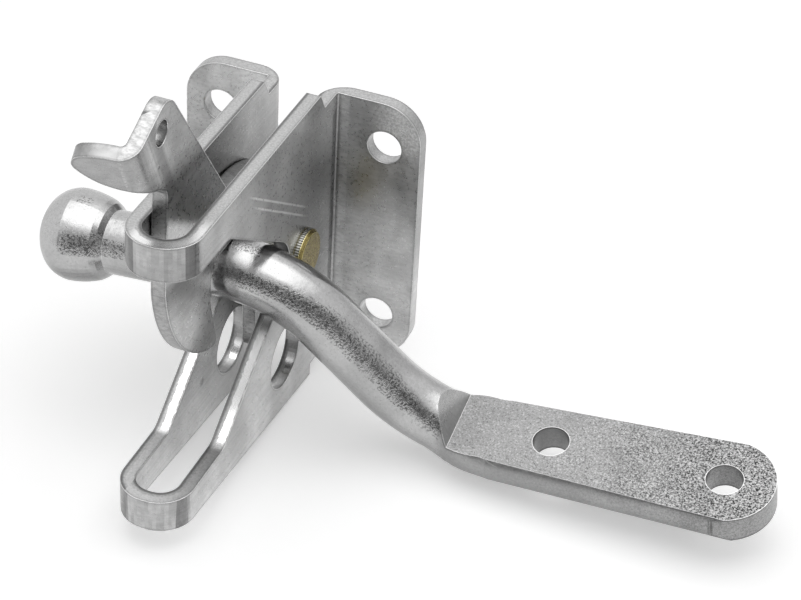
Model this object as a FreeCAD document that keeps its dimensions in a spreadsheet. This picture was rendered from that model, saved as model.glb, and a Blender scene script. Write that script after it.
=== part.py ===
import FreeCAD, Part
import math
import os

import Sketcher
from FreeCAD import Placement, Rotation, Vector

# Gate latch: a folded bracket for the post, a gravity lever on a rivet and a forged striker bar.
# Frame: X along the rivet, to the right seen from the front, -Y away from the post, +Z up.
# Origin: on the post's face, in the middle of the four bolt holes.

doc = FreeCAD.newDocument("gate_latch")
sheet = doc.addObject("Spreadsheet::Sheet", "Sizes")

SIZES = [
    # bracket
    ("gauge", 3.0, "thickness of the bracket's sheet"),
    ("channel_gap", 8.6, "clear width between the side plates"),
    ("fold_radius", 0.4, "inner radius of the folds at the flanges"),
    ("fold_back", 6.0, "outer radius of those folds, where the sheet is drawn thin"),
    ("bend_radius", 3.9, "inner radius of the two U bends"),
    ("flange_span", 50.0, "width over both flanges"),
    ("flange_height", 59.6, "height of a flange"),
    ("flange_corner", 8.2, "corner radius of a flange"),
    ("bolt_pitch_x", 35.0, "bolt holes, left to right"),
    ("bolt_pitch_z", 40.0, "bolt holes, bottom to top"),
    ("bolt_hole", 7.1, "bolt hole, diameter"),
    ("upper_reach", 69.8, "post to the front of the upper U bend"),
    ("lower_reach", 74.0, "post to the front of the lower U bend"),
    ("plate_top", 33.6, "top edge of the side plates"),
    ("plate_bottom", 32.4, "bottom edge of the side plates at their rear"),
    ("rear_relief", 9.2, "depth of the shorter stretch next to the flanges, top"),
    ("relief_slant", 2.2, "slant of the step at the top"),
    ("low_relief", 12.7, "depth of the shorter stretch next to the flanges, bottom"),
    ("lower_sweep", 30.0, "rounding where the bottom edge turns into the lower strip"),
    ("upper_strip", 7.2, "height of the upper U bend's strip"),
    ("lower_strip", 6.8, "height of the lower U bend's strip"),
    ("lower_strip_top", 21.0, "top edge of the lower strip, below the origin"),
    ("mouth_upper_slope", 33.5, "slope of the mouth's upper edge, degrees"),
    ("mouth_lower_slope", 35.5, "slope of the mouth's lower edge, degrees"),
    ("mouth_round", 4.0, "rounding where the mouth's edges meet the strips"),
    ("padlock_hole", 14.0, "padlock hole, diameter"),
    ("padlock_y", 25.6, "padlock hole, in front of the post"),
    ("padlock_z", 18.5, "padlock hole, below the origin"),
    ("throat_play", 1.3, "radial room of the rod in the mouth's end"),
    ("throat_drop", 1.27, "how far the mouth's end lies below the rod's axis"),
    ("throat_back", 0.2, "how far the mouth's end lies behind the rod's axis"),
    # rivet
    ("pivot_y", 18.5, "rivet axis, in front of the post"),
    ("pivot_z", 1.5, "rivet axis, above the origin"),
    ("rivet_dia", 6.3, "rivet shank, diameter"),
    ("rivet_head", 10.8, "rivet head, diameter"),
    ("rivet_head_thick", 1.8, "rivet head, height"),
    ("rivet_edge", 0.6, "bevel round the rivet's heads"),
    ("rivet_shoulder", 8.4, "shoulder that keeps the lever aside, diameter"),
    # lever
    ("lever_gauge", 3.0, "thickness of the lever's plate"),
    ("side_play", 0.3, "play between the lever and its neighbours"),
    ("pivot_play", 0.05, "radial play of the lever on the rivet"),
    ("rod_play", 0.35, "gap between the lever's notch and the rod"),
    ("nose_gap", 3.6, "room between the rod and the nose in front of it"),
    ("arm_top", 20.3, "rear end of the arm's upper edge, above the origin"),
    ("arm_bow", 1.41, "rise of the arm's curved upper edge"),
    ("crook_y", 35.4, "corner between arm and head, in front of the post"),
    ("crook_z", 24.4, "corner between arm and head, above the origin"),
    ("head_top", 58.4, "top of the head, above the origin"),
    ("head_slope", 34.8, "lean of the head's rear edge from the vertical, degrees"),
    ("head_round", 4.2, "rounding of the head's top corner"),
    ("front_edge", 60.2, "front edge of the lever inside the upper bend"),
    ("neck_z", 38.9, "upper end of the front edge, above the origin"),
    ("nose_top", 17.0, "lower end of the front edge, above the origin"),
    ("nose_lead", 1.2, "how far the nose's slant starts in front of the front edge"),
    ("nose_bow", 4.21, "rise of the nose's curved slant"),
    ("nose_low_y", 43.6, "lower end of the slant, in front of the post"),
    ("nose_low_z", 7.5, "lower end of the slant, below the origin"),
    ("barb_y", 39.5, "lowest corner of the nose, in front of the post"),
    ("barb_z", 8.6, "lowest corner of the nose, below the origin"),
    ("notch_low", 2.5, "lower end of the notch's front wall, above the origin"),
    ("notch_round", 3.5, "rounding of the notch's upper corner"),
    ("cord_hole", 4.8, "hole in the head for a pull cord, diameter"),
    ("cord_y", 62.2, "cord hole, in front of the post"),
    ("cord_z", 52.1, "cord hole, above the origin"),
    ("tab_top_y", 69.4, "upper end of the thumb tab's bend line, in front of the post"),
    ("tab_top_z", 53.5, "upper end of the thumb tab's bend line, above the origin"),
    ("tab_width", 13.2, "width of the thumb tab where its bend starts"),
    ("tab_root", 9.25, "width of the thumb tab where its bend ends"),
    ("tab_lean", 24.0, "lean of the thumb tab's bend line from the vertical, degrees"),
    ("tab_bend", 80.0, "angle that the thumb tab is bent through, degrees"),
    ("tab_bend_radius", 1.0, "inner radius of the thumb tab's bend"),
    ("tab_reach", 8.3, "length of the thumb tab past its bend"),
    ("tail_front", 21.5, "front edge of the tail, in front of the post"),
    ("tail_bottom", 23.5, "lower end of the tail, below the origin"),
    ("tail_taper", 3.6, "how much the tail narrows towards its end"),
    ("tail_round", 3.4, "rounding of the tail's corners"),
    # striker bar
    ("rod_dia", 12.7, "diameter of the round rod"),
    ("rod_y", 32.5, "rod axis in the channel's middle, in front of the post"),
    ("rod_z", 5.2, "rod axis in the channel's middle, above the origin"),
    ("rod_pitch", 4.5, "rise of the rod towards the pad, degrees"),
    ("bar_roll", 12.2, "turn of the bar about its rod, degrees"),
    ("knob_end", 41.5, "end of the knob, left of the channel's middle"),
    ("knob_dia", 18.4, "largest diameter of the knob"),
    ("knob_back", 26.0, "inner end of the knob, left of the channel's middle"),
    ("first_bend_at", 9.05, "corner of the first bend, right of the channel's middle"),
    ("bend_angle", 52.5, "angle of both bends, degrees"),
    ("first_bend_radius", 26.0, "centre line radius of the first bend"),
    ("second_bend_radius", 30.0, "centre line radius of the second bend"),
    ("pad_drop", 31.6, "top face of the pad below the rod's axis"),
    ("pad_thick", 6.1, "thickness of the pad"),
    ("pad_half_start", 7.35, "half width of the pad's top where it starts"),
    ("pad_half_end", 9.3, "half width of the pad's top at its far end"),
    ("pad_bulge", 0.9, "how far the pad's rounded sides stand out"),
    ("pad_foot", 0.6, "how much narrower the pad's underside is, on each side"),
    ("pad_start", 42.0, "start of the flat pad, right of the channel's middle"),
    ("pad_crown", 0.3, "rise of the pad's top before it is pressed flat"),
    ("pad_ramp", 3.6, "length of the slanted step that leads down to the pad"),
    ("ramp_height", 7.2, "height of the slanted step"),
    ("heel_thick", 1.2, "extra thickness under the pad's start"),
    ("heel_from", 5.0, "start of the slope under the pad, past the pad's start"),
    ("heel_to", 12.0, "end of the slope under the pad, past the pad's start"),
    ("heel_round", 40.0, "rounding of that slope's ends"),
    ("pad_hole", 7.2, "bolt hole in the pad, diameter"),
    ("pad_hole_first", 61.0, "first bolt hole, right of the channel's middle"),
    ("pad_hole_pitch", 34.4, "distance between the pad's bolt holes"),
    ("pad_end_radius", 9.8, "radius of the pad's end, about its last hole"),
]
for row, (alias, value, note) in enumerate(SIZES, start=1):
    sheet.set("A%d" % row, alias)
    sheet.set("B%d" % row, str(value))
    sheet.set("C%d" % row, note)
    sheet.setAlias("B%d" % row, alias)
doc.recompute()


def size(alias):
    """A driving dimension, read from the sheet."""
    return float(sheet.get(alias))


def turned(angle, length=1.0):
    """A vector in the sketch plane, at an angle in degrees from its first axis."""
    return Vector(length * math.cos(math.radians(angle)), length * math.sin(math.radians(angle)), 0)


def point(x, y):
    return Vector(x, y, 0)


def rounded(corners):
    """A closed outline of lines and arcs. Each corner is (x, y) or (x, y, radius)."""
    places = [point(corner[0], corner[1]) for corner in corners]
    cuts = []
    for index, corner in enumerate(corners):
        here = places[index]
        radius = corner[2] if len(corner) > 2 else 0
        if radius == 0:
            cuts.append((here, None, here))
            continue
        back = (places[index - 1] - here).normalize()
        ahead = (places[(index + 1) % len(places)] - here).normalize()
        half = back.getAngle(ahead) / 2
        reach = radius / math.tan(half)
        centre = here + (back + ahead).normalize() * (radius / math.sin(half))
        middle = centre + (here - centre).normalize() * radius
        cuts.append((here + back * reach, middle, here + ahead * reach))
    edges = []
    for index, (start, middle, end) in enumerate(cuts):
        if middle is not None:
            edges.append(Part.Arc(start, middle, end))
        following = cuts[(index + 1) % len(cuts)][0]
        if end.distanceToPoint(following) > 1e-6:
            edges.append(Part.LineSegment(end, following))
    return edges


def bowed(start, end, rise):
    """An arc from start to end that rises to the right of its way."""
    way = end - start
    side = point(way.y, -way.x).normalize()
    return Part.Arc(start, start + way * 0.5 + side * rise, end)


def arc_about(centre, radius, start, end):
    """An arc about a centre, from one angle to another in degrees, with its two ends."""
    first = centre + turned(start, radius)
    middle = centre + turned((start + end) / 2, radius)
    last = centre + turned(end, radius)
    return Part.Arc(first, middle, last), first, last


def new_body(label):
    body = doc.addObject("PartDesign::Body", label)
    body.Label = label
    return body


def plane_of(body, role):
    return [plane for plane in body.Origin.OriginFeatures if plane.Role == role][0]


def sketch_on(body, name, role, geometry, offset=None):
    """A sketch on one of the body's own planes, shifted or turned by an offset if one is given."""
    sketch = body.newObject("Sketcher::SketchObject", name)
    sketch.AttachmentSupport = [(plane_of(body, role), "")]
    sketch.MapMode = "FlatFace"
    if offset is not None:
        sketch.AttachmentOffset = offset
    if geometry:
        sketch.addGeometry(geometry, False)
    doc.recompute()
    return sketch


def times(alias, factor=1.0):
    """A multiple of a size: its value, and the expression that gives it."""
    return factor * size(alias), "%g * Sizes.%s" % (factor, alias)


def hole_sketch(body, name, role, centres, diameter, play=None):
    """Circles that follow the sheet. A centre is two pairs of a value and its expression."""
    sketch = sketch_on(body, name, role, [])
    wide = size(diameter)
    wide_text = "Sizes.%s" % diameter
    if play is not None:
        wide += 2 * size(play)
        wide_text += " + 2 * Sizes.%s" % play
    for index, (across, along) in enumerate(centres):
        circle = Part.Circle(point(across[0], along[0]), Vector(0, 0, 1), wide / 2)
        sketch.addGeometry(circle, False)
        bound = sketch.addConstraint(Sketcher.Constraint("Diameter", index, wide))
        sketch.setExpression("Constraints[%d]" % bound, wide_text)
        for kind, (value, text) in (("DistanceX", across), ("DistanceY", along)):
            bound = sketch.addConstraint(Sketcher.Constraint(kind, -1, 1, index, 3, value))
            sketch.setExpression("Constraints[%d]" % bound, text)
    doc.recompute()
    return sketch


def pad(body, name, sketch, length, midplane=False, reverse=False):
    feature = body.newObject("PartDesign::Pad", name)
    feature.Profile = sketch
    feature.setExpression("Length", length)
    feature.Midplane = midplane
    feature.Reversed = reverse
    doc.recompute()
    return feature


def cut(body, name, sketch, length=None, reverse=False):
    """A pocket: through everything on both sides, or to a length on one side."""
    before = body.Shape.Volume
    feature = body.newObject("PartDesign::Pocket", name)
    feature.Profile = sketch
    if length is None:
        feature.Type = "ThroughAll"
        feature.Midplane = True
    else:
        feature.setExpression("Length", length)
        feature.Reversed = reverse
    doc.recompute()
    if body.Shape.Volume > before - 1e-3:
        raise RuntimeError(name + " removed nothing")
    return feature


def loft(body, name, sections):
    feature = body.newObject("PartDesign::AdditiveLoft", name)
    feature.Profile = sections[0]
    feature.Sections = sections[1:]
    doc.recompute()
    return feature


gauge = size("gauge")
inner_half = size("channel_gap") / 2
outer_half = inner_half + gauge
rod_radius = size("rod_dia") / 2
throat = point(size("throat_back") - size("rod_y"), size("rod_z") - size("throat_drop"))
throat_radius = rod_radius + size("throat_play")
pivot = point(-size("pivot_y"), size("pivot_z"))
pivot_centre = [(times("pivot_y", -1), times("pivot_z"))]
reach = max(size("upper_reach"), size("lower_reach"))


# Bracket: the folded strip is drawn in plan and raised, then trimmed in side and front view.

def folded_strip(reach):
    """Plan of the sheet: flange, side plate, U bend, side plate, flange."""
    half = size("flange_span") / 2
    bend = size("bend_radius")
    inside = [(half, 0), (inner_half, 0, size("fold_back")), (inner_half, gauge - reach, bend)]
    outside = [(outer_half, -reach, bend + gauge), (outer_half, -gauge, size("fold_radius")),
               (half, -gauge)]
    left_inside = [(-x, y, *more) for x, y, *more in reversed(inside)]
    left_outside = [(-x, y, *more) for x, y, *more in reversed(outside)]
    return rounded(inside + left_inside + left_outside + outside)


def side_outline():
    """Side view of the sheet without its mouth, from the post to the two U bends."""
    half = size("flange_height") / 2
    step = size("rear_relief")
    front = reach + 1
    strip_low = -size("lower_strip_top") - size("lower_strip")
    bend_start = -size("lower_reach") + size("bend_radius") + gauge
    return rounded([
        (1, -half), (1, half), (-step, half), (-step - size("relief_slant"), size("plate_top")),
        (-front, size("plate_top")), (-front, strip_low), (bend_start, strip_low, size("lower_sweep")),
        (-size("low_relief"), -size("plate_bottom")), (-size("low_relief"), -half),
    ])


def mouth():
    """The V that leads the rod in, with its round end, open to the front."""
    upper = size("mouth_upper_slope")
    lower = size("mouth_lower_slope")
    ceiling = size("plate_top") - size("upper_strip")
    floor = -size("lower_strip_top")
    end_arc, top, bottom = arc_about(throat, throat_radius, 90 - upper, lower - 90)
    top_turn = point(top.x - (ceiling - top.y) / math.tan(math.radians(upper)), ceiling)
    low_turn = point(bottom.x - (bottom.y - floor) / math.tan(math.radians(lower)), floor)
    front = -reach - 5
    edges = rounded([
        (bottom.x, bottom.y), (low_turn.x, low_turn.y, size("mouth_round")), (front, floor),
        (front, ceiling), (top_turn.x, top_turn.y, size("mouth_round")), (top.x, top.y),
    ])
    return edges[:-1] + [end_arc]


def around(edges, margin=50):
    """The outline as a hole in a larger frame, so that a pocket removes what lies outside it."""
    box = Part.Wire(Part.__sortEdges__([edge.toShape() for edge in edges])).BoundBox
    low = point(box.XMin - margin, box.YMin - margin)
    high = point(box.XMax + margin, box.YMax + margin)
    return rounded([(low.x, low.y), (high.x, low.y), (high.x, high.y), (low.x, high.y)]) + edges


def build_bracket():
    body = new_body("latch_bracket")
    level = (size("plate_top") - size("upper_strip") - size("lower_strip_top")) / 2
    at_level = Placement(Vector(0, 0, level), Rotation())
    lower = sketch_on(body, "LowerStrip", "XY_Plane", folded_strip(size("lower_reach")), at_level)
    pad(body, "LowerFold", lower, "Sizes.flange_height", reverse=True)
    upper = sketch_on(body, "UpperStrip", "XY_Plane", folded_strip(size("upper_reach")), at_level)
    pad(body, "UpperFold", upper, "Sizes.flange_height")
    trim = sketch_on(body, "SideView", "YZ_Plane", around(side_outline()))
    cut(body, "SideTrim", trim)
    opening = sketch_on(body, "MouthView", "YZ_Plane", mouth())
    cut(body, "Mouth", opening)
    half = size("flange_span") / 2
    tall = size("flange_height") / 2
    corner = size("flange_corner")
    front_view = rounded([(-half, -tall, corner), (half, -tall, corner), (half, tall, corner),
                          (-half, tall, corner)])
    corners = sketch_on(body, "FrontView", "XZ_Plane", around(front_view))
    cut(body, "FlangeCorners", corners, "Sizes.gauge + Sizes.fold_radius", reverse=True)
    halves = (-0.5, 0.5)
    bolts = [(times("bolt_pitch_x", sx), times("bolt_pitch_z", sz)) for sx in halves for sz in halves]
    cut(body, "BoltHoles", hole_sketch(body, "BoltCircles", "XZ_Plane", bolts, "bolt_hole"))
    padlock = [(times("padlock_y", -1), times("padlock_z", -1))]
    cut(body, "PadlockHole", hole_sketch(body, "PadlockCircle", "YZ_Plane", padlock, "padlock_hole"))
    cut(body, "RivetHole", hole_sketch(body, "RivetCircle", "YZ_Plane", pivot_centre, "rivet_dia"))
    shoulder = hole_sketch(body, "ShoulderCircle", "YZ_Plane", pivot_centre, "rivet_shoulder")
    cut(body, "ShoulderHole", shoulder, "Sizes.channel_gap / 2 + Sizes.gauge", reverse=True)
    return body


# Rivet: one turned piece, shouldered beside the lever and headed on both plates.

lever_left = -inner_half + size("side_play")
lever_right = lever_left + size("lever_gauge")


def build_rivet():
    body = new_body("pivot_rivet")
    head = size("rivet_head") / 2
    shank = size("rivet_dia") / 2
    shoulder = size("rivet_shoulder") / 2
    thick = size("rivet_head_thick")
    shoulder_start = lever_right + size("side_play")
    edge = size("rivet_edge")
    profile = rounded([
        (-outer_half - thick, 0), (-outer_half - thick, head - edge),
        (-outer_half - thick + edge, head), (-outer_half, head),
        (-outer_half, shank), (shoulder_start, shank), (shoulder_start, shoulder),
        (outer_half, shoulder), (outer_half, head), (outer_half + thick - edge, head),
        (outer_half + thick, head - edge), (outer_half + thick, 0),
    ])
    sketch = sketch_on(body, "RivetProfile", "XY_Plane", profile)
    turn = body.newObject("PartDesign::Revolution", "RivetTurned")
    turn.Profile = sketch
    turn.ReferenceAxis = (sketch, ["H_Axis"])
    turn.Angle = 360
    doc.recompute()
    body.Placement = Placement(Vector(0, pivot.x, pivot.y), Rotation())
    return body


# Lever: a stamped plate with a notch over the rod, a tail behind and a bent thumb tab.

rod_rise = math.tan(math.radians(size("rod_pitch")))
rod_at_lever = point(-size("rod_y"), size("rod_z") + rod_rise * (lever_left + lever_right) / 2)
tab_out = turned(180 + size("tab_lean"))
tab_along = turned(size("tab_lean") - 90)
tab_top = point(-size("tab_top_y"), size("tab_top_z"))
narrowing = size("tab_width") - size("tab_root")

# The thumb tab grows narrower round its bend, here from its start to its end.
tab_widths = [size("tab_width") - share * narrowing for share in (0, 0.3, 0.62, 0.86, 1)]


def lever_outline():
    """The plate in side view, from the head forwards and down, then back over the rod."""
    tab_low = tab_top + tab_along * tab_widths[0]
    lean = math.tan(math.radians(size("head_slope")))
    crook = point(-size("crook_y"), size("crook_z"))
    arm_end = point(pivot.x, size("arm_top"))
    head_corner = point(crook.x - (size("head_top") - crook.y) * lean, size("head_top"))
    ceiling = rod_at_lever.y + rod_radius + size("rod_play")
    wall = rod_at_lever.x - rod_radius - size("nose_gap")
    front = -size("front_edge")
    nose_top = point(front - size("nose_lead"), size("nose_top"))
    nose_low = point(-size("nose_low_y"), -size("nose_low_z"))

    to_pivot = pivot - rod_at_lever
    toward = math.degrees(math.atan2(to_pivot.y, to_pivot.x))
    over_rod, over_start, over_end = arc_about(rod_at_lever, rod_radius + size("rod_play"), 90, toward)
    hub = to_pivot.Length - rod_radius - size("rod_play")
    tail_front = -size("tail_front")
    tail_angle = 360 - math.degrees(math.acos((tail_front - pivot.x) / hub))
    hub_arc, hub_start, hub_end = arc_about(pivot, hub, 180 + toward, tail_angle)

    bottom = -size("tail_bottom")
    back = pivot.x + hub
    rear = rounded([
        (hub_end.x, hub_end.y), (tail_front, bottom, size("tail_round")),
        (back - size("tail_taper"), bottom, size("tail_round")),
        (back, pivot.y - 0.58 * hub, 0.78 * hub), (back, pivot.y + 1.49 * hub, 0.65 * hub),
        (arm_end.x, arm_end.y),
    ])
    head = rounded([
        (crook.x, crook.y), (head_corner.x, head_corner.y, size("head_round")),
        (tab_top.x, tab_top.y), (tab_low.x, tab_low.y),
        (front, size("neck_z"), size("nose_lead")), (nose_top.x, nose_top.y),
    ])
    lower = rounded([
        (nose_low.x, nose_low.y), (-size("barb_y"), -size("barb_z"), size("nose_lead")),
        (wall, size("notch_low"), size("notch_round")), (wall, ceiling, size("notch_round")),
        (over_start.x, over_start.y),
    ])
    arm = bowed(arm_end, crook, size("arm_bow"))
    slant = bowed(nose_top, nose_low, size("nose_bow"))
    return rear[:-1] + [arm] + head[:-1] + [slant] + lower[:-1] + [over_rod, hub_arc]


def thumb_tab():
    """The tab past its bend: outwards from the bend, and down from its upper edge."""
    far = size("tab_reach")
    wide = size("tab_root")
    shoulder = point(0.77 * far, 0.01 * wide)
    tip = point(0.95 * far, -0.44 * wide)
    root_low = point(0, -wide)
    return [
        Part.LineSegment(root_low, point(0, 0)),
        Part.Arc(point(0, 0), point(0.38 * far, 0.045 * wide), shoulder),
        Part.Arc(shoulder, point(0.995 * far, -0.16 * wide), tip),
        Part.Arc(tip, point(0.6 * far, -0.78 * wide), root_low),
    ]


def build_lever():
    body = new_body("latch_lever")
    at_left = Placement(Vector(0, 0, lever_left), Rotation())
    plate = sketch_on(body, "PlateView", "YZ_Plane", lever_outline(), at_left)
    pad(body, "Plate", plate, "Sizes.lever_gauge")

    thick = size("lever_gauge")
    bend_radius = size("tab_bend_radius")
    out = Vector(0, tab_out.x, tab_out.y)
    up = Vector(0, -tab_along.x, -tab_along.y)
    left = Vector(-1, 0, 0)
    root = Vector(lever_left, tab_top.x, tab_top.y)
    centre = root + left * bend_radius
    strips = []
    for index, width in enumerate(tab_widths):
        share = index / (len(tab_widths) - 1)
        angle = math.radians(size("tab_bend")) * share
        outward = out * math.sin(angle) - left * math.cos(angle)
        along = out * math.cos(angle) + left * math.sin(angle)
        edge = centre + outward * bend_radius
        frame = Placement(edge, Rotation(outward, up, outward.cross(up), "XYZ"))
        section = rounded([(0, 0), (0, -width), (thick, -width), (thick, 0)])
        strips.append(sketch_on(body, "BendStrip%d" % index, "XY_Plane", section, frame))
    loft(body, "TabBend", strips)

    face = along.cross(up)
    flat = Placement(edge, Rotation(along, up, face, "XYZ"))
    tab = sketch_on(body, "TabView", "XY_Plane", thumb_tab(), flat)
    pad(body, "ThumbTab", tab, "Sizes.lever_gauge", reverse=face.dot(outward) < 0)

    bore = hole_sketch(body, "PivotCircle", "YZ_Plane", pivot_centre, "rivet_dia", "pivot_play")
    cut(body, "PivotHole", bore)
    cord = [(times("cord_y", -1), times("cord_z"))]
    cut(body, "CordHole", hole_sketch(body, "CordCircle", "YZ_Plane", cord, "cord_hole"))
    return body


# Striker bar: knob and rod are turned, the bends follow a path, the pad is pressed flat.

# Along the second bend, from 0 to 1: how far the bar is pressed wide, and how far it is pressed thin.
PRESSED = [(0.5, 0, 0), (0.6, 0.14, 0.05), (0.7, 0.48, 0.3), (0.85, 0.82, 0.8), (1, 1, 1)]

bend = math.radians(size("bend_angle"))
pad_middle = -size("pad_drop") - size("pad_thick") / 2
first_corner = point(size("first_bend_at"), 0)
second_corner = point(first_corner.x - pad_middle / math.tan(bend), pad_middle)
first_reach = size("first_bend_radius") * math.tan(bend / 2)
second_reach = size("second_bend_radius") * math.tan(bend / 2)
slope = turned(-size("bend_angle"))
bar_start = point(first_corner.x - first_reach, 0)


def knob_profile():
    """Half section of the knob and the straight rod behind it."""
    end = -size("knob_end")
    back = -size("knob_back")
    full = size("knob_dia") / 2
    crown = point(end + 0.2 * full, 0.64 * full)
    widest = point(end + 0.8 * full, full)
    heel = point(back - 0.22 * full, 0.87 * full)
    foot = point(back - 0.11 * full, 0.8 * full)
    return [
        Part.Arc(point(end, 0), point(end + 0.045 * full, 0.29 * full), crown),
        Part.Arc(crown, point(end + 0.425 * full, 0.88 * full), widest),
        Part.Arc(widest, point((widest.x + heel.x) / 2, 0.965 * full), heel),
        Part.LineSegment(heel, foot),
        Part.LineSegment(foot, point(back, rod_radius)),
        Part.LineSegment(point(back, rod_radius), point(bar_start.x, rod_radius)),
        Part.LineSegment(point(bar_start.x, rod_radius), bar_start),
        Part.LineSegment(bar_start, point(end, 0)),
    ]


def flattened(wide, thin, flat, half_width):
    """Section of the bar, from a circle with all shares at 0 to the pad's far end with all at 1."""
    side = rod_radius * math.cos(math.pi / 4)
    crown = rod_radius - side
    half = side + wide * (half_width - side)
    bulge = crown + flat * (size("pad_bulge") - crown)
    foot = half - flat * size("pad_foot")
    tall = side + thin * (size("pad_thick") / 2 + size("pad_crown") / 2 - side)
    rise = crown + thin * (size("pad_crown") - crown)
    belly = -0.08 * thin * size("pad_thick")
    return [
        Part.Arc(point(-half, tall), point(0, tall + rise), point(half, tall)),
        Part.Arc(point(half, tall), point(half + bulge, belly), point(foot, -tall)),
        Part.Arc(point(foot, -tall), point(0, -tall - rise), point(-foot, -tall)),
        Part.Arc(point(-foot, -tall), point(-half - bulge, belly), point(-half, tall)),
    ]


def across_bar(place, direction):
    """Placement of a section at a place on the bar's centre line, seen along the bar."""
    along = Vector(direction.x, 0, direction.y)
    upward = Vector(-direction.y, 0, direction.x)
    return Placement(Vector(place.x, 0, place.y), Rotation(upward.cross(along), upward, along, "XYZ"))


def pad_half(along):
    """Half width of the pad's top face at a distance from the channel's middle."""
    first = size("pad_start")
    last = size("pad_hole_first") + size("pad_hole_pitch")
    share = (along - first) / (last - first)
    return size("pad_half_start") + share * (size("pad_half_end") - size("pad_half_start"))


def build_striker():
    body = new_body("striker_bar")
    knob = sketch_on(body, "KnobProfile", "XZ_Plane", knob_profile())
    turn = body.newObject("PartDesign::Revolution", "KnobTurned")
    turn.Profile = knob
    turn.ReferenceAxis = (knob, ["H_Axis"])
    turn.Angle = 360
    doc.recompute()

    first_end = first_corner + slope * first_reach
    second_start = second_corner - slope * second_reach
    turn_centre = point(second_corner.x + second_reach, pad_middle + size("second_bend_radius"))
    end_x = turn_centre.x

    def on_second_bend(share):
        left_over = size("bend_angle") * (1 - share)
        return turn_centre + turned(-90 - left_over, size("second_bend_radius")), turned(-left_over)

    centre = point(bar_start.x, -size("first_bend_radius"))
    middle = centre + turned(90 - size("bend_angle") / 2, size("first_bend_radius"))
    press_start = on_second_bend(PRESSED[0][0])[0]
    path = sketch_on(body, "RodPath", "XZ_Plane", [
        Part.Arc(bar_start, middle, first_end), Part.LineSegment(first_end, second_start),
        Part.Arc(second_start, on_second_bend(PRESSED[0][0] / 2)[0], press_start)])
    round_section = [Part.Circle(point(0, 0), Vector(0, 0, 1), rod_radius)]
    start = sketch_on(body, "RodSection", "XY_Plane", round_section, across_bar(bar_start, point(1, 0)))
    pipe = body.newObject("PartDesign::AdditivePipe", "RodBent")
    pipe.Profile = start
    pipe.Spine = path
    doc.recompute()

    sections = []
    for share, wide, thin in PRESSED:
        where = across_bar(*on_second_bend(share))
        name = "Press%d" % round(100 * share)
        sections.append(sketch_on(body, name, "XY_Plane", flattened(wide, thin, wide / 2, pad_half(end_x)), where))
    loft(body, "BendPressed", sections)

    last_hole = size("pad_hole_first") + size("pad_hole_pitch")
    far = last_hole + 1.3 * size("pad_end_radius")
    near_place = across_bar(point(end_x, pad_middle), point(1, 0))
    far_place = across_bar(point(far, pad_middle), point(1, 0))
    near_end = sketch_on(body, "PadStart", "XY_Plane", flattened(1, 1, 0.5, pad_half(end_x)), near_place)
    far_end = sketch_on(body, "PadEnd", "XY_Plane", flattened(1, 1, 1, pad_half(far)), far_place)
    loft(body, "PadPressed", [near_end, far_end])

    top = -size("pad_drop")
    low = top - size("pad_thick")
    begin = size("pad_start")
    high = top + 3 * size("ramp_height")
    die = rounded([(begin, top), (far + 5, top), (far + 5, high), (begin - 3 * size("pad_ramp"), high)])
    cut(body, "TopFlat", sketch_on(body, "TopDie", "XZ_Plane", die))
    heel = low - size("heel_thick")
    curve = size("heel_round")
    anvil = rounded([
        (begin - 20, heel), (begin - 20, low - 10), (far + 5, low - 10), (far + 5, low),
        (begin + size("heel_to"), low, curve), (begin + size("heel_from"), heel, curve),
    ])
    cut(body, "LowFlat", sketch_on(body, "Anvil", "XZ_Plane", anvil))

    end_radius = size("pad_end_radius")
    side = end_radius + 6
    end_arc, end_low, end_high = arc_about(point(last_hole, 0), end_radius, -90, 90)
    shear = [
        Part.LineSegment(end_high, point(last_hole, side)),
        Part.LineSegment(point(last_hole, side), point(far + 5, side)),
        Part.LineSegment(point(far + 5, side), point(far + 5, -side)),
        Part.LineSegment(point(far + 5, -side), point(last_hole, -side)),
        Part.LineSegment(point(last_hole, -side), end_low), end_arc]
    cut(body, "EndShear", sketch_on(body, "EndView", "XY_Plane", shear))
    middle_line = (0.0, "0")
    second = (last_hole, "Sizes.pad_hole_first + Sizes.pad_hole_pitch")
    bolts = [(times("pad_hole_first"), middle_line), (second, middle_line)]
    cut(body, "PadHoles", hole_sketch(body, "PadCircles", "XY_Plane", bolts, "pad_hole"))

    pitch = Rotation(Vector(0, 1, 0), -size("rod_pitch"))
    roll = Rotation(Vector(1, 0, 0), size("bar_roll"))
    body.Placement = Placement(Vector(0, -size("rod_y"), size("rod_z")), pitch.multiply(roll))
    return body


bodies = [build_bracket(), build_rivet(), build_lever(), build_striker()]
doc.recompute()
for thing in doc.Objects:
    if "Invalid" in thing.State or "Error" in thing.State:
        raise RuntimeError("%s is in state %s" % (thing.Name, thing.State))
os.makedirs("parts", exist_ok=True)
for body in bodies:
    shape = body.Shape
    if shape.isNull() or not shape.isValid() or len(shape.Solids) != 1:
        raise RuntimeError(body.Label + " is not one valid solid")
    shape.exportStep("parts/%s.step" % body.Label)
    print(body.Label, "volume %.1f" % shape.Volume, shape.BoundBox)
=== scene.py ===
"""Looks of the gate latch: zinc plated sheet, a forged striker bar and a brass rivet.

Scene lengths are in metres. The finishes work in millimetres, in the latch's own frame: the post's
face is y = 0, the latch stands out towards -Y, the knob points to -X and Z is up.
"""
import math

import bpy
from mathutils import Matrix, Vector


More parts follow.
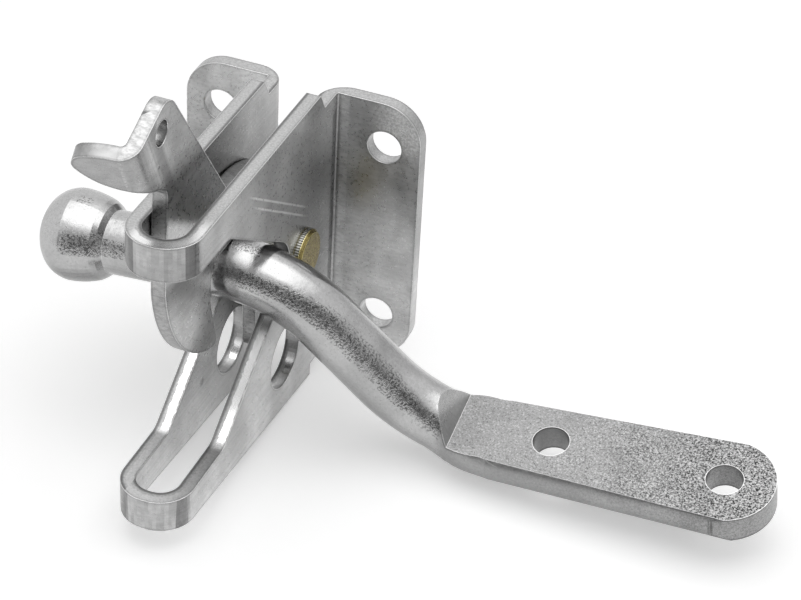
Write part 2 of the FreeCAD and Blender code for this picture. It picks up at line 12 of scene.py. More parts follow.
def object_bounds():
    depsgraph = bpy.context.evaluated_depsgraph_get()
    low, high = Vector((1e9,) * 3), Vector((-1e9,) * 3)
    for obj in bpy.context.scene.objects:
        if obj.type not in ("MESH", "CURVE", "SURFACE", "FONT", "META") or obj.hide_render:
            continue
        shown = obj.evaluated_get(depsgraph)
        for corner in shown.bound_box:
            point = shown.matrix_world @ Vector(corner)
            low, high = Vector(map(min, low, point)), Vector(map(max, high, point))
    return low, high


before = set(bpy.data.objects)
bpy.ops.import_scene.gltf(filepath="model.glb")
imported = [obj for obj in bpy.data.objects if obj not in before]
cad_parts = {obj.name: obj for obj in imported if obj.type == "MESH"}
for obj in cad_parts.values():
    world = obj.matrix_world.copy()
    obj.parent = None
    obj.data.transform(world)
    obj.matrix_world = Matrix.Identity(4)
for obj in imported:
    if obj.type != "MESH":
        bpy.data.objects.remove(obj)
cad_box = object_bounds()

MM = 0.001

# Dimensions of the latch that the finishes follow, in millimetres

SHEET = 3.0
INNER_HALF = 4.3
OUTER_HALF = INNER_HALF + SHEET
FLANGE_FRONT = -SHEET
FLANGE_TOP = 29.8
BEND_RADIUS = 3.9
UPPER_BEND_Y = -62.9
LOWER_BEND_Y = -67.1
LOWER_ARM_TOP, UPPER_ARM_LOW = 4, 8
LEVER_LEFT, LEVER_RIGHT = -4.0, -1.0
TAB_LEAN = math.radians(24)
CORD_HOLE = (0, -62.2, 52.1)
CORD_HOLE_RADIUS = 2.4
RIVET = (0, -18.5, 1.5)
REFLECTION_STRIPES = 64
KNOB_BACK = -26.0
PAD_START = 42.0
EDGE_RADIUS = 0.35
HALO_RADIUS = 2.4 * EDGE_RADIUS

# Single marks that the photograph shows, in millimetres

# A speckled patch of painted light on the right flange, beside its upper hole
PAINTED_LIGHT_SPOT = (22, FLANGE_FRONT, 25)
DARK_SPOT = (-INNER_HALF, -39.4, -19.3)
NICK = (LEVER_RIGHT, -63.4, 45.8)
CRACK_SLOPE, CRACK_HEIGHT, CRACK_WIDTH = 0.41, 57.7, 0.25

# Each light streak on the right plate: its height if it went on to the post, and its two ends along y
STREAK_SLOPE = math.tan(math.radians(34.6))
LIGHT_STREAKS = ((-0.1, -40.0, -20.5), (-2.2, -38.0, -21.0))

# Where the bar's rough front starts along x. Each rough patch on its top has its two ends along x, and
# the y part of the direction in which the surface faces at its front and rear borders.
GRIPPED_FROM = -33.4
ROUGH_PATCHES = ((-33.3, -30.6, -0.2, -0.02), (-1.5, 5.2, -0.36, 0.1))

# Depth of each kind of skin, in millimetres

ROLLED_DEPTH = 0.004
FORGED_DEPTH = 0.035
TURNED_DEPTH = 0.012

# Gap between the latch and the floor, in millimetres
FLOOR_GAP = 0.5

# Colour and light levels of the studio, where 1 is white

PAPER = (0.9, 0.9, 0.9, 1)
AMBIENT = 0.35
FLOOR_GLOW = 0.34
SCREEN_RIGHT = 0.68
SCREEN_FRONT = 0.21


# Node graphs

class Graph:
    """A node tree, with short names for the nodes that the materials are made of."""

    def __init__(self, tree):
        self.tree = tree
        tree.nodes.clear()

    def add(self, kind, inputs=(), **settings):
        node = self.tree.nodes.new(kind)
        for name, value in settings.items():
            setattr(node, name, value)
        for name, value in dict(inputs).items():
            self.feed(node.inputs[name], value)
        return node

    def feed(self, socket, value):
        if isinstance(value, bpy.types.NodeSocket):
            self.tree.links.new(value, socket)
        else:
            socket.default_value = value

    def math(self, operation, first, second=0.0):
        return self.add("ShaderNodeMath", {0: first, 1: second}, operation=operation).outputs[0]

    def times(self, first, *others):
        """The product of several values."""
        product = first
        for other in others:
            product = self.math("MULTIPLY", product, other)
        return product

    def larger(self, first, second):
        return self.math("MAXIMUM", first, second)

    def rest(self, share):
        """What a share leaves of 1."""
        return self.math("SUBTRACT", 1.0, share)

    def between(self, value, low, high, to_low=0.0, to_high=1.0):
        """Maps a value from one range to another, smoothly and with its ends held."""
        ranges = {"From Min": low, "From Max": high, "To Min": to_low, "To Max": to_high}
        node = self.add("ShaderNodeMapRange", {"Value": value, **ranges}, interpolation_type="SMOOTHSTEP")
        return node.outputs[0]

    def spread(self, noise, low, high):
        """Spreads a noise, which lies mostly between 0.3 and 0.7, from one value to another."""
        return self.between(noise, 0.3, 0.7, low, high)

    def band(self, value, low, high, soft):
        """1 between two values and 0 outside, over a soft border."""
        rise = self.between(value, low - soft, low)
        fall = self.between(value, high, high + soft, 1.0, 0.0)
        return self.times(rise, fall)

    def vector_math(self, operation, first, second):
        return self.add("ShaderNodeVectorMath", {0: first, 1: second}, operation=operation)

    def vector(self, x, y):
        return self.add("ShaderNodeCombineXYZ", {0: x, 1: y}).outputs[0]

    def parts(self, vector):
        return self.add("ShaderNodeSeparateXYZ", {0: vector}).outputs

    def noise(self, where, scale, detail=3.0, rough=0.55, stretch=(1, 1, 1)):
        """Smooth noise. The scale is in features per millimetre."""
        if stretch != (1, 1, 1):
            where = self.vector_math("MULTIPLY", where, stretch).outputs[0]
        inputs = {"Vector": where, "Scale": scale, "Detail": detail, "Roughness": rough}
        return self.add("ShaderNodeTexNoise", inputs).outputs[0]

    def spot(self, where, centre, inner, outer):
        """1 within one radius of a place and 0 beyond another."""
        away = self.vector_math("DISTANCE", where, centre).outputs["Value"]
        return self.between(away, inner, outer, 1.0, 0.0)

    def from_axis(self, where, centre):
        """The vector to a place from the axis that runs along x through a centre."""
        away = self.vector_math("SUBTRACT", where, centre).outputs[0]
        return self.vector_math("MULTIPLY", away, (0, 1, 1)).outputs[0]

    def length(self, vector):
        return self.add("ShaderNodeVectorMath", {0: vector}, operation="LENGTH").outputs["Value"]

    def grey(self, value):
        return self.add("ShaderNodeCombineColor", {0: value, 1: value, 2: value}).outputs[0]

    def mix(self, share, first, second):
        node = self.add("ShaderNodeMix", data_type="FLOAT")
        self.feed(node.inputs[0], share)
        self.feed(node.inputs[2], first)
        self.feed(node.inputs[3], second)
        return node.outputs[0]

    def mix_colour(self, share, first, second):
        node = self.add("ShaderNodeMix", data_type="RGBA")
        self.feed(node.inputs[0], share)
        self.feed(node.inputs[6], first)
        self.feed(node.inputs[7], second)
        return node.outputs[2]

    def vary(self, tone, noise, low, high):
        """Multiplies a tone by a noise that is spread from one factor to another."""
        return self.times(tone, self.spread(noise, low, high))

    def shade(self, tone, mask, factor):
        """Multiplies a tone by a factor where the mask is 1."""
        return self.times(tone, self.mix(mask, 1.0, factor))

    def paint(self, tone, mask, cover, level):
        """Lays a level over a tone where the mask is 1. It covers the tone by the share given."""
        return self.mix(self.times(mask, cover), tone, level)

    def bump(self, height, normal, depth):
        inputs = {"Height": height, "Normal": normal, "Strength": 1.0, "Distance": depth}
        return self.add("ShaderNodeBump", inputs).outputs[0]


def edge_turn(graph, radius, normal, samples):
    """The rounded normal at an edge, and its cosine with the plain one: 1 where the surface is flat."""
    rounded = graph.add("ShaderNodeBevel", {"Radius": radius}, samples=samples).outputs[0]
    turn = graph.vector_math("DOT_PRODUCT", rounded, normal).outputs["Value"]
    return rounded, turn


def metal(name, finish, soft_edges):
    """A metal material. The finish gives colour, roughness, height and depth from the surface's place.

    It is told the place in millimetres, the face's direction, the rim that lies on an edge and the halo that
    lies beside the rim; the finishes paint a highlight on the rim and shade in the halo. Soft edges catch the
    light as if they were a little rounded.
    """
    material = bpy.data.materials.new(name)
    material.use_nodes = True
    graph = Graph(material.node_tree)
    place = graph.add("ShaderNodeTexCoord").outputs["Object"]
    where = graph.vector_math("MULTIPLY", place, (1 / MM, 1 / MM, 1 / MM)).outputs[0]
    geometry = graph.add("ShaderNodeNewGeometry")
    plain = geometry.outputs["Normal"]
    rounded, turn = edge_turn(graph, EDGE_RADIUS * MM, plain, samples=8)
    rim = graph.between(turn, 0.99, 0.88)
    wide_turn = edge_turn(graph, HALO_RADIUS * MM, plain, samples=6)[1]
    halo = graph.times(graph.between(wide_turn, 0.999, 0.985), graph.rest(rim))
    facing = graph.add("ShaderNodeVectorTransform", {0: geometry.outputs["True Normal"]},
                       vector_type="NORMAL", convert_from="WORLD", convert_to="OBJECT").outputs[0]
    colour, roughness, height, depth = finish(graph, where, facing, rim, halo)
    normal = graph.bump(height, rounded if soft_edges else plain, depth * MM)
    inputs = {"Base Color": colour, "Roughness": roughness, "Normal": normal, "Metallic": 1.0}
    shader = graph.add("ShaderNodeBsdfPrincipled", inputs)
    graph.add("ShaderNodeOutputMaterial", {0: shader.outputs[0]})
    return material


# Finish of the bracket

def painted_flange_light(graph, where, x, z, shades):
    """Painted light and shade on a flange's front: lighter low down, darker between its holes, and a little
    darker on the left one.

    The right one has a speckled patch of painted light beside its upper hole.
    """
    level = graph.times(graph.between(z, -26, 2, 1.9, 1.6), graph.between(shades, 0.38, 0.6, 0.75, 1.15))
    level = graph.times(level, graph.between(x, -8, -7, 0.9, 1.0))
    level = graph.shade(level, graph.band(z, 6, 10, 6), 0.8)
    speckle = graph.between(graph.noise(where, 2.0, rough=0.7), 0.35, 0.65)
    light_patch = graph.times(graph.spot(where, PAINTED_LIGHT_SPOT, 4, 9), speckle)
    return graph.mix(light_patch, level, 2.3)


def painted_plate_light(graph, y, z, upper, shades):
    """Painted light on a side plate: light at the front and low down, painted shade in the upper arm and
    middle.
    """
    level = graph.times(graph.between(y, -56, -26, 1.45, 0.78), graph.between(shades, 0.35, 0.65, 0.9, 1.12))
    level = graph.times(level, graph.between(y, -13, -7, 1.0, 1.3))
    rear = graph.times(graph.band(z, 2, 17, 9), graph.between(y, -38, -24))
    upper_arm = graph.times(upper, graph.between(y, -28, -36))
    lower_arm = graph.times(graph.between(z, -4, -14), graph.between(y, -50, -38))
    for part, factor in ((rear, 0.7), (upper_arm, 0.6), (lower_arm, 1.4)):
        level = graph.shade(level, part, factor)
    return level


def bend_marks_and_shade(graph, nx, z, upper):
    """The front of a U bend: marks along it, with painted shade where it faces left and in a band facing
    right.
    """
    marks = graph.noise(graph.vector(nx, graph.times(z, 0.02)), 6.0, detail=2, rough=0.7)
    level = graph.between(marks, 0.35, 0.65, 0.7, 0.9)
    level = graph.times(level, graph.between(nx, -0.5, -0.4, 0.4, 0.9))
    level = graph.shade(level, graph.band(nx, 0.8, 0.93, 0.06), 0.5)
    return graph.times(level, graph.mix(upper, 1.2, 1.3))


def light_streak(graph, x, y, z, grain, at_post, front, rear):
    """A straight light streak on the right plate that fades at its ends. It slopes much as the mouth does."""
    across = graph.math("ADD", z, graph.times(y, STREAK_SLOPE))
    line = graph.times(graph.band(across, at_post - 0.12, at_post + 0.12, 0.25),
                       graph.band(y, front, rear, 5.0))
    on_right = graph.between(x, OUTER_HALF - 0.5, OUTER_HALF - 0.1)
    return graph.times(line, on_right, graph.between(grain, 0.3, 0.5, 0.5, 1.0))


def share_of_gauge(graph, x, y, side, upper):
    """Where a place on a sheared edge lies in the sheet: 0 at the inner face and 1 at the outer one.

    The lower left arm was sheared from its other side, so its shares run the other way.
    """
    centre = graph.mix(upper, LOWER_BEND_Y, UPPER_BEND_Y)
    beyond = graph.larger(graph.math("SUBTRACT", centre, y), 0.0)
    beside = graph.larger(graph.math("SUBTRACT", side, INNER_HALF - BEND_RADIUS), 0.0)
    square = graph.math("ADD", graph.math("POWER", beyond, 2.0), graph.math("POWER", beside, 2.0))
    into = graph.math("SUBTRACT", graph.math("SQRT", square), BEND_RADIUS)
    share = graph.math("DIVIDE", into, SHEET)
    lower_left = graph.times(graph.between(x, 0.3 - INNER_HALF, -INNER_HALF), graph.rest(upper))
    return graph.mix(lower_left, share, graph.rest(share))


def sheared_edge(graph, where, x, y, nz, side, upper, torn):
    """The tone of a sheared edge, and the burnished strip on it, which lies beside the torn one."""
    off_flange = graph.between(side, OUTER_HALF + 1.3, OUTER_HALF + 0.3)
    share = share_of_gauge(graph, x, y, side, upper)
    wavy = graph.math("ADD", share, graph.spread(graph.noise(where, 0.9, detail=2), -0.05, 0.05))
    burnished = graph.times(graph.band(wavy, 0.42, 0.88, 0.06), off_flange, graph.between(nz, 0.4, 0.6))
    on_upper = graph.times(graph.between(y, -57, -62), graph.between(x, -5.5, -3.5))
    on_lower = graph.between(nz, 0.96, 0.92, 0.25, 1.0)
    burnished = graph.times(burnished, graph.mix(upper, on_lower, on_upper))
    inner_line = graph.times(graph.between(share, 0.3, 0.12), off_flange)
    # Edges that face straight up get a little painted light
    tone = graph.shade(graph.between(nz, 0.9, 0.97, 1.0, 1.12), inner_line, 0.45)
    tone = graph.vary(tone, torn, 0.34, 0.5)
    return graph.mix(burnished, tone, 0.88), burnished


def rolled_height(graph, grain, streaks):
    return graph.math("ADD", graph.times(grain, 0.6), graph.times(streaks, 0.6))


def sheet_finish(graph, where, facing, rim, halo):
    """Zinc plated sheet: soft clouds, a fine grain and faint rolling streaks, with bright sheared edges."""
    x, y, z = graph.parts(where)
    nx, ny, nz = graph.parts(facing)
    side = graph.math("ABSOLUTE", x)
    upper = graph.between(z, LOWER_ARM_TOP, UPPER_ARM_LOW)
    clouds = graph.noise(where, 0.06)
    grain = graph.noise(where, 1.4)
    streaks = graph.noise(where, 1.0, stretch=(0.5, 0.05, 1.6))
    shades = graph.noise(where, 0.09, detail=2, stretch=(1, 1, 0.6))
    torn = graph.noise(where, 2.5, rough=0.7)

    flange = graph.times(graph.between(side, OUTER_HALF + 0.1, OUTER_HALF + 1.3),
                         graph.between(y, FLANGE_FRONT - 0.6, FLANGE_FRONT + 0.4),
                         graph.between(ny, -0.6, -0.9))
    tone = graph.spread(clouds, 0.37, 0.5)
    tone = graph.vary(tone, streaks, 0.93, 1.06)
    tone = graph.vary(tone, grain, 0.95, 1.05)
    # Painted light and shade on the side plates and the flanges
    plate_painted = painted_plate_light(graph, y, z, upper, shades)
    flange_painted = painted_flange_light(graph, where, x, z, shades)
    tone = graph.times(tone, graph.mix(flange, plate_painted, flange_painted))

    # The fold has painted shade along its crease and a light strip beside it on the flange.
    inside = graph.times(graph.band(y, FLANGE_FRONT - 1.6, FLANGE_FRONT - 0.6, 0.7),
                         graph.between(side, OUTER_HALF + 0.9, OUTER_HALF + 0.3),
                         graph.between(z, FLANGE_TOP - 2.8, FLANGE_TOP - 4.8))
    tone = graph.paint(tone, inside, 0.6, 0.1)
    strip = graph.times(flange, graph.band(side, OUTER_HALF + 1.1, OUTER_HALF + 2.3, 0.5))
    tone = graph.paint(tone, strip, graph.between(streaks, 0.35, 0.6, 0.1, 0.5), 0.95)

    # Painted shade on the fronts of the U bends, with the marks along them
    bent = graph.times(graph.between(ny, -0.12, -0.3),
                       graph.between(y, UPPER_BEND_Y + 1.9, UPPER_BEND_Y - 0.1))
    tone = graph.shade(tone, bent, bend_marks_and_shade(graph, nx, z, upper))
    for at_post, front, rear in LIGHT_STREAKS:
        tone = graph.paint(tone, light_streak(graph, x, y, z, grain, at_post, front, rear), 0.6, 0.8)
    # A small dark spot low on the left plate's inner face
    tone = graph.paint(tone, graph.spot(where, DARK_SPOT, 0.3, 1.3), 0.5, 0.12)

    sheared = graph.between(graph.math("ABSOLUTE", nz), 0.1, 0.3)
    edge_tone, burnished = sheared_edge(graph, where, x, y, nz, side, upper, torn)
    tone = graph.mix(sheared, tone, edge_tone)
    # Painted shade beside the edges and a painted highlight on them
    tone = graph.paint(tone, halo, graph.mix(sheared, 0.35, 0.5), 0.12)
    tone = graph.paint(tone, rim, 0.6, 0.9)

    roughness = graph.mix(sheared, graph.spread(grain, 0.26, 0.36), graph.mix(burnished, 0.42, 0.22))
    height = graph.mix(graph.times(sheared, 0.7), rolled_height(graph, grain, streaks), torn)
    return graph.grey(tone), roughness, height, ROLLED_DEPTH


# Finish of the lever

def plate_finish(graph, where, facing, rim, halo):
    """The lever: stamped and plated, with marks drawn out round the tab's bend and a cracked front edge."""
    x, y, z = graph.parts(where)
    nx = graph.parts(facing)[0]
    clouds = graph.noise(where, 0.08)
    grain = graph.noise(where, 1.5)
    streaks = graph.noise(where, 0.8, stretch=(0.3, 0.25, 1.5))
    torn = graph.noise(where, 1.6, rough=0.7, stretch=(0.5, 1, 1))
    tone = graph.spread(clouds, 0.33, 0.45)
    tone = graph.vary(tone, streaks, 0.93, 1.07)
    tone = graph.vary(tone, grain, 0.95, 1.05)

    # Marks that the bending die drew, along the bend and fading away from it.
    across = graph.math("SUBTRACT", graph.times(y, -math.cos(TAB_LEAN)), graph.times(z, math.sin(TAB_LEAN)))
    drawn = graph.noise(graph.vector(across, x), 0.45, detail=2, rough=0.6)
    near_bend = graph.times(graph.band(across, 36.5, 41.5, 4.0), graph.between(z, 36, 42))
    tone = graph.shade(tone, near_bend, graph.between(drawn, 0.35, 0.65, 0.72, 1.3))

    # Painted light: the tail is light but for its end, and so is the plate where it enters the bracket.
    tone = graph.times(tone, graph.between(z, 8, 18, 1.3, 0.85), graph.between(z, -6, 4, 0.78, 1.0))
    tone = graph.times(tone, graph.between(z, 36, 46, 1.0, 1.05))
    tone = graph.shade(tone, graph.band(z, 20, 35, 4), 2.2)
    tone = graph.paint(tone, graph.spot(where, NICK, 0.15, 0.45), 0.8, 0.05)

    # The sheared edge is rough, lighter on the head than on the nose, and cracked near the top.
    off_tab = graph.between(x, LEVER_LEFT - 0.3, LEVER_LEFT)
    sheared = graph.times(graph.between(graph.math("ABSOLUTE", nx), 0.5, 0.2), off_tab)
    nose_tone = graph.between(torn, 0.32, 0.68, 0.24, 0.4)
    head_tone = graph.between(torn, 0.3, 0.65, 0.3, 0.54)
    edge_tone = graph.mix(graph.between(z, 30, 40), nose_tone, head_tone)
    # Painted shade on the wall of the cord hole
    from_hole = graph.length(graph.from_axis(where, CORD_HOLE))
    wall = graph.between(from_hole, CORD_HOLE_RADIUS + 0.6, CORD_HOLE_RADIUS + 1.0, 0.8, 1.0)
    edge_tone = graph.times(edge_tone, wall)
    tone = graph.paint(tone, sheared, 0.8, edge_tone)
    rise = graph.math("SUBTRACT", z, graph.times(x, CRACK_SLOPE))
    crack = graph.band(rise, CRACK_HEIGHT, CRACK_HEIGHT + CRACK_WIDTH, 0.12)
    crack = graph.times(crack, sheared, graph.between(y, -62.5, -63.5))
    tone = graph.paint(tone, crack, 0.85, 0.04)
    # Painted shade beside the edges and a painted highlight on them
    tone = graph.paint(tone, halo, 0.55, 0.14)
    tone = graph.paint(tone, rim, 0.55, 0.85)

    height = graph.mix(graph.times(sheared, 0.8), rolled_height(graph, grain, streaks), torn)
    return graph.grey(tone), graph.spread(grain, 0.26, 0.36), height, ROLLED_DEPTH


# Finish of the bar

def pad_tone(graph, tone, x, nz, on_pad, flakes, patches):
    """The pad: duller than the rod, with painted shade on its top, painted light on its ramp, dark dots,
    painted glints and a spangled end.
    """
    # The pad is duller than the rod, with painted shade on its top
    top = graph.between(nz, 0.85, 0.95)
    tone = graph.shade(tone, on_pad, graph.mix(top, 0.72, 0.58))
    # Painted light on the ramp
    ramp = graph.times(on_pad, graph.band(nz, 0.55, 0.88, 0.08))
    tone = graph.shade(tone, ramp, 1.9)
    flaky = graph.times(on_pad, graph.mix(top, 0.25, 1.0))
    far = graph.between(graph.math("ADD", x, graph.times(patches, 30.0)), 74, 118)
    tone = graph.shade(tone, flaky, graph.between(flakes, 0.37, 0.43, 0.4, 1.0))
    tone = graph.shade(tone, graph.times(far, flaky), graph.between(flakes, 0.42, 0.54, 0.06, 1.2))
    # Painted glints
    return graph.shade(tone, flaky, graph.between(flakes, 0.56, 0.62, 1.0, 1.6))


def gripped_skin(graph, x, nx, ny, nz, on_pad, patches):
    """Where the bar is rough, as if it had been gripped in the forge: its front and two patches on top."""
    gripped = graph.times(graph.band(nz, 0.2, 0.56, 0.1), graph.between(ny, -0.3, -0.5))
    gripped = graph.times(gripped, graph.between(nx, -0.4, -0.2))
    gripped = graph.times(gripped, graph.between(x, GRIPPED_FROM - 0.8, GRIPPED_FROM))
    for left, right, front, rear in ROUGH_PATCHES:
        patch = graph.times(graph.band(x, left, right, 0.3), graph.band(ny, front, rear, 0.04))
        patch = graph.times(patch, graph.between(nz, 0.7, 0.8))
        gripped = graph.larger(gripped, graph.times(patch, 0.8))
    return graph.times(gripped, graph.mix(on_pad, graph.between(patches, 0.34, 0.46, 0.5, 1.0), 0.0))


def forging_finish(graph, where, facing, rim, halo):
    """The bar: a glossy drawn rod with a pitted skin, and a pad that turns spangled towards its end."""
    x = graph.parts(where)[0]
    nx, ny, nz = graph.parts(facing)
    clouds = graph.noise(where, 0.09)
    grain = graph.noise(where, 1.6)
    pits = graph.noise(where, 2.2, detail=2, rough=0.8)
    waves = graph.noise(where, 0.5, detail=2)
    flakes = graph.noise(where, 2.5, rough=0.85)
    patches = graph.noise(where, 0.14, detail=2)
    on_pad = graph.between(x, PAD_START - 1, PAD_START + 2)
    on_knob = graph.between(x, KNOB_BACK, KNOB_BACK - 2)

    tone = graph.vary(graph.spread(clouds, 0.41, 0.5), grain, 0.94, 1.05)
    tone = pad_tone(graph, tone, x, nz, on_pad, flakes, patches)

    # Painted shade: the knob is darker below and at its end, the rod below, and the pad's side under its rim.
    # The edges get a painted highlight.
    knob_limb_shade = graph.larger(graph.between(nz, -0.15, -0.5), graph.between(nx, -0.6, -0.9))
    tone = graph.shade(tone, graph.times(knob_limb_shade, on_knob), 0.72)
    below = graph.times(graph.between(nz, -0.05, -0.5), graph.rest(on_pad))
    tone = graph.shade(tone, below, 0.8)
    on_side = graph.between(nz, 0.5, 0.3, 0.0, 0.85)
    tone = graph.paint(tone, graph.times(halo, on_pad), on_side, 0.08)
    tone = graph.paint(tone, rim, graph.mix(on_pad, 0.6, graph.between(nz, 0.1, 0.5, 0.2, 0.8)), 0.95)

    gripped = gripped_skin(graph, x, nx, ny, nz, on_pad, patches)
    dark_pits = graph.times(graph.between(pits, 0.5, 0.42), gripped)
    stray_pits = graph.times(graph.between(pits, 0.36, 0.32), graph.mix(on_pad, 0.4, 0.0))
    tone = graph.paint(tone, graph.larger(dark_pits, stray_pits), 0.75, 0.05)

    roughness = graph.mix(on_pad, graph.spread(grain, 0.16, 0.24), graph.spread(grain, 0.3, 0.42))
    roughness = graph.mix(on_knob, roughness, 0.25)
    pitted = graph.larger(gripped, graph.between(patches, 0.5, 0.62, 0.1, 0.35))
    skin = graph.math("ADD", graph.times(pits, pitted, 3.0), waves)
    height = graph.mix(on_pad, skin, graph.times(flakes, 0.6))
    return graph.grey(tone), roughness, height, FORGED_DEPTH


# Finish of the rivet

DARK_BRASS = (0.24, 0.19, 0.075, 1)
LIGHT_BRASS = (0.38, 0.31, 0.12, 1)
# Colours of the painted highlight and shade at the rims, and of the painted silvery reflection
HIGHLIGHT_BRASS = (1.0, 0.9, 0.42, 1)
BRASS_SHADE = (0.08, 0.06, 0.02, 1)
SILVER_REFLECTION = (0.95, 0.95, 0.9, 1)
DARK_SILVER_REFLECTION = (0.2, 0.2, 0.17, 1)

# How fast the wave of the turned rings runs outwards, in radians for each millimetre
RING_RATE = 9.0


def rivet_finish(graph, where, facing, rim, halo):
    """Brass-coloured plating with the faint rings of its turning, and a painted silvery reflection round its
    heads.
    """
    away = graph.from_axis(where, RIVET)
    grain = graph.noise(where, 1.8, detail=4)
    brass = graph.mix_colour(graph.between(grain, 0.3, 0.7), DARK_BRASS, LIGHT_BRASS)
    ahead, up = graph.parts(away)[1:]
    # A painted silvery reflection, striped round the sides of its heads
    reflection_stripes = graph.math("SINE", graph.times(graph.math("ARCTAN2", up, ahead), REFLECTION_STRIPES))
    silver_reflection = graph.mix_colour(graph.between(reflection_stripes, -0.4, 0.6), DARK_SILVER_REFLECTION, SILVER_REFLECTION)
    nx = graph.parts(facing)[0]
    on_side = graph.between(graph.math("ABSOLUTE", nx), 0.6, 0.4)
    colour = graph.mix_colour(on_side, brass, silver_reflection)
    # Painted shade beside the rim and a painted highlight on it
    colour = graph.mix_colour(graph.times(halo, graph.mix(on_side, 0.5, 0.95)), colour, BRASS_SHADE)
    colour = graph.mix_colour(graph.times(rim, 0.9), colour, HIGHLIGHT_BRASS)
    rings = graph.math("SINE", graph.times(graph.length(away), RING_RATE))
    height = graph.math("ADD", grain, graph.times(rings, 0.25))
    return colour, graph.spread(grain, 0.22, 0.34), height, TURNED_DEPTH


# For each node: its material's name, its finish and whether it has soft edges
FINISHES = {
    "latch_bracket": ("zinc_sheet_look", sheet_finish, True),
    "latch_lever": ("zinc_plate_look", plate_finish, True),
    "pivot_rivet": ("brass_look", rivet_finish, True),
    "striker_bar": ("zinc_forging_look", forging_finish, False),
}
for node, (name, finish, soft_edges) in FINISHES.items():
    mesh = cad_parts[node].data
    mesh.materials.clear()
    mesh.materials.append(metal(name, finish, soft_edges))


# Studio

def add_object(name, data):
    new = bpy.data.objects.new(name, data)
    bpy.context.collection.objects.link(new)
    return new


def add_surface(name, points, faces):
    """A mesh object with an empty material, and the graph of that material."""
    mesh = bpy.data.meshes.new(name)
    mesh.from_pydata(points, [], faces)
    material = bpy.data.materials.new(name + "_look")
    material.use_nodes = True
    mesh.materials.append(material)
    return add_object(name, mesh), Graph(material.node_tree)


def seen(graph):
    """1 for rays that show the background: from the camera, in reflections and through glass."""
    path = graph.add("ShaderNodeLightPath").outputs
    shown = graph.larger(path["Is Camera Ray"], path["Is Glossy Ray"])
    return graph.larger(shown, path["Is Transmission Ray"])


def make_floor(level, reach=4.0):
    """A white floor that keeps the latch's shadow. Its glow is for rays that show the background."""
    corners = [(-reach, -reach, level), (reach, -reach, level), (reach, reach, level), (-reach, reach, level)]
    floor, graph = add_surface("floor", corners, [(0, 1, 2, 3)])
    paper = graph.add("ShaderNodeBsdfDiffuse", {"Color": PAPER})
    glow = graph.add("ShaderNodeEmission", {"Strength": graph.times(seen(graph), FLOOR_GLOW)})
    both = graph.add("ShaderNodeAddShader", {0: paper.outputs[0], 1: glow.outputs[0]})
    graph.add("ShaderNodeOutputMaterial", {0: both.outputs[0]})


def screen_level(graph, radius):
    """How bright the screen is: dull on the right, and dark on the side that the latch faces.

    It goes by the degrees round from -Y towards +X, and the degrees up from the floor.
    """
    x, y, z = graph.parts(graph.add("ShaderNodeNewGeometry").outputs["Position"])
    turn = graph.math("DEGREES", graph.math("ARCTAN2", x, graph.times(y, -1.0)))
    height = graph.math("DEGREES", graph.math("ARCSINE", graph.math("DIVIDE", z, radius)))
    ahead = graph.times(graph.between(turn, -44, -12), graph.between(turn, 78, 58))
    ahead = graph.times(ahead, graph.between(height, 39, 24))
    right_side = graph.times(graph.band(turn, 60, 150, 25), graph.between(height, 35, 10))
    return graph.mix(ahead, graph.mix(right_side, 1.0, SCREEN_RIGHT), SCREEN_FRONT)


def make_screen(radius=0.4, low=-4.5, high=46, across=72, along=12):
    """A grey screen that only reflections show: a ring of a globe, between two heights in degrees."""
    points = []
    for row in range(along + 1):
        height = math.radians(low + (high - low) * row / along)
        for column in range(across):
            turn = 2 * math.pi * column / across
            reach = radius * math.cos(height)
            points.append((reach * math.sin(turn), -reach * math.cos(turn), radius * math.sin(height)))
    faces = []
    for row in range(along):
        start = row * across
        for column in range(across):
            after = (column + 1) % across
            faces.append((start + column, start + after, start + across + after, start + across + column))
    screen, graph = add_surface("screen", points, faces)
    light = graph.add("ShaderNodeEmission", {"Strength": screen_level(graph, radius)})
    graph.add("ShaderNodeOutputMaterial", {0: light.outputs[0]})
    for ray in ("camera", "diffuse", "shadow", "transmission", "volume_scatter"):
        setattr(screen, "visible_" + ray, False)


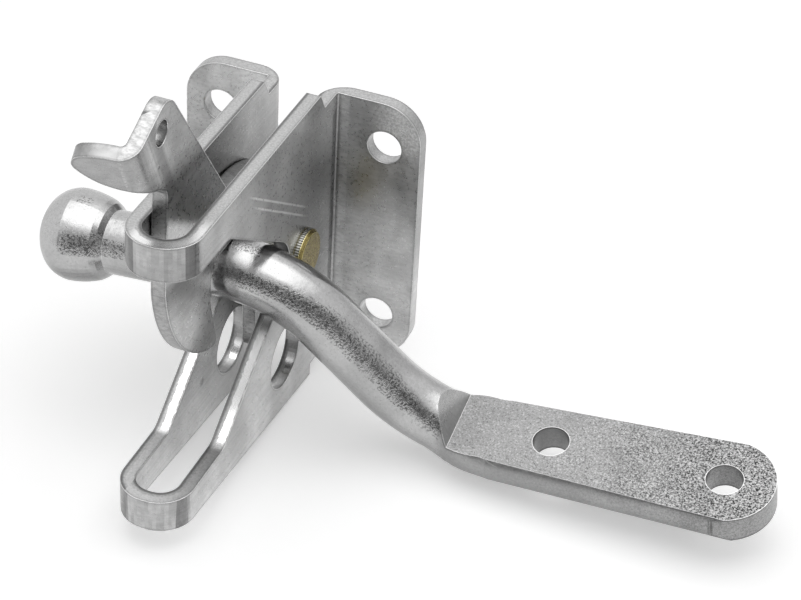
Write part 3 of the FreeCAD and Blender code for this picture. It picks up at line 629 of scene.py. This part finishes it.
def make_world():
    """A white surround that lights the latch softly and shows as white."""
    world = bpy.data.worlds.new("studio")
    world.use_nodes = True
    bpy.context.scene.world = world
    graph = Graph(world.node_tree)
    strength = graph.mix(seen(graph), AMBIENT, 1.0)
    white = graph.add("ShaderNodeBackground", {"Color": (1, 1, 1, 1), "Strength": strength})
    graph.add("ShaderNodeOutputWorld", {0: white.outputs[0]})


def make_softbox(name, place, size, watts):
    """A rectangular lamp that hangs over the latch and shines straight down."""
    data = bpy.data.lights.new(name, "AREA")
    data.shape = "RECTANGLE"
    data.size, data.size_y = size
    data.energy = watts
    lamp = add_object(name, data)
    lamp.location = place
    lamp.rotation_euler = Vector((0, 0, -1)).to_track_quat("-Z", "Y").to_euler()


def make_camera():
    """The camera of the photograph, found by fitting the holes, the rod and the sheet's corners."""
    turn, tilt, roll = math.radians(19.87), math.radians(36.26), math.radians(3.3)
    target = Vector((26.97, -15.0, -5.79)) * MM
    distance = 489.42 * MM
    focal_pixels, picture_width = 2500, 801
    back = Vector((math.sin(turn) * math.cos(tilt), -math.cos(turn) * math.cos(tilt), math.sin(tilt)))
    level = Vector((math.cos(turn), math.sin(turn), 0))
    upward = back.cross(level)
    right = level * math.cos(roll) + upward * math.sin(roll)
    up = upward * math.cos(roll) - level * math.sin(roll)
    data = bpy.data.cameras.new("camera")
    data.sensor_fit = "HORIZONTAL"
    data.sensor_width = 36.0
    data.lens = data.sensor_width * focal_pixels / picture_width
    data.clip_start, data.clip_end = 0.02, 20
    camera = add_object("camera", data)
    axes = Matrix((right, up, back)).transposed().to_4x4()
    camera.matrix_world = Matrix.Translation(target + back * distance) @ axes
    bpy.context.scene.camera = camera


make_camera()
make_world()
make_floor(cad_box[0].z - FLOOR_GAP * MM)
make_screen()
make_softbox("softbox", place=(0.05, -0.1, 1.0), size=(1.2, 1.15), watts=3.4)
make_softbox("outer_softbox", place=(0.22, -0.22, 1.02), size=(1.8, 1.8), watts=5.2)

bpy.context.scene.view_settings.view_transform = "Standard"
